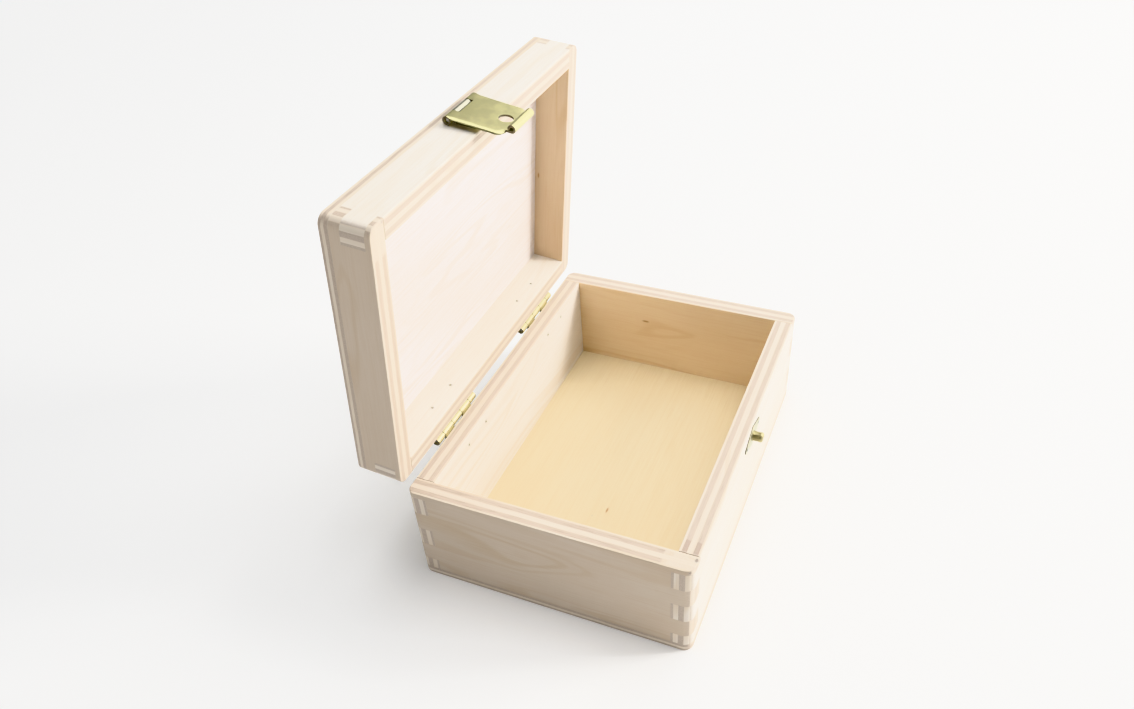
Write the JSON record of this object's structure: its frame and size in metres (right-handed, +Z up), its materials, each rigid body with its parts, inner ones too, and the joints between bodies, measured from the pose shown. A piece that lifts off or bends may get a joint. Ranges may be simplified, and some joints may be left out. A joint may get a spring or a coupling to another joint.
{
  "type": "wooden money box",
  "caption": "Small finger-jointed plywood box with a rear-hinged lid, two butt hinges, and a hasp flap that drops over a round stud on the front.",
  "frame": {"origin": "centre of the base's underside", "axes": "+X along the hinge line to the right seen from the front, +Y to the hinged rear, +Z up"},
  "size_m": [0.1284, 0.1118, 0.135],
  "materials": {
    "birch_ply": "bare sanded birch plywood",
    "brass_sheet": "satin brass-plated steel sheet",
    "plated_pin": "dull brass-plated steel wire"
  },
  "bodies": {
    "base": {"base_bottom_panel": "birch_ply", "base_front_wall": "birch_ply", "base_rear_wall": "birch_ply", "base_left_end": "birch_ply", "base_right_end": "birch_ply", "left_hinge_base_leaf": "brass_sheet", "left_hinge_base_nails": "brass_sheet", "right_hinge_base_leaf": "brass_sheet", "right_hinge_base_nails": "brass_sheet", "keeper_plate": "brass_sheet", "keeper_stud": "plated_pin", "keeper_nails": "plated_pin"},
    "lid": {"lid_top_panel": "birch_ply", "lid_front_wall": "birch_ply", "lid_rear_wall": "birch_ply", "lid_left_end": "birch_ply", "lid_right_end": "birch_ply", "left_hinge_lid_leaf": "brass_sheet", "left_hinge_lid_nails": "brass_sheet", "left_hinge_pin": "plated_pin", "right_hinge_lid_leaf": "brass_sheet", "right_hinge_lid_nails": "brass_sheet", "right_hinge_pin": "plated_pin", "hasp_mounting_plate": "brass_sheet", "hasp_nails": "brass_sheet", "hasp_pin": "plated_pin"},
    "flap": {"hasp_flap": "brass_sheet"}
  },
  "joints": [
    {"name": "lid_hinge", "type": "hinge", "parent": "base", "child": "lid", "pos_m": [0, 0.04755, 0.0381], "axis": [1, 0, 0], "range_deg": [0, 84]},
    {"name": "hasp_hinge", "type": "hinge", "parent": "lid", "child": "flap", "pos_m": [0, 0.04666, 0.13363], "axis": [1, 0, 0], "range_deg": [-180, 0]}
  ]
}
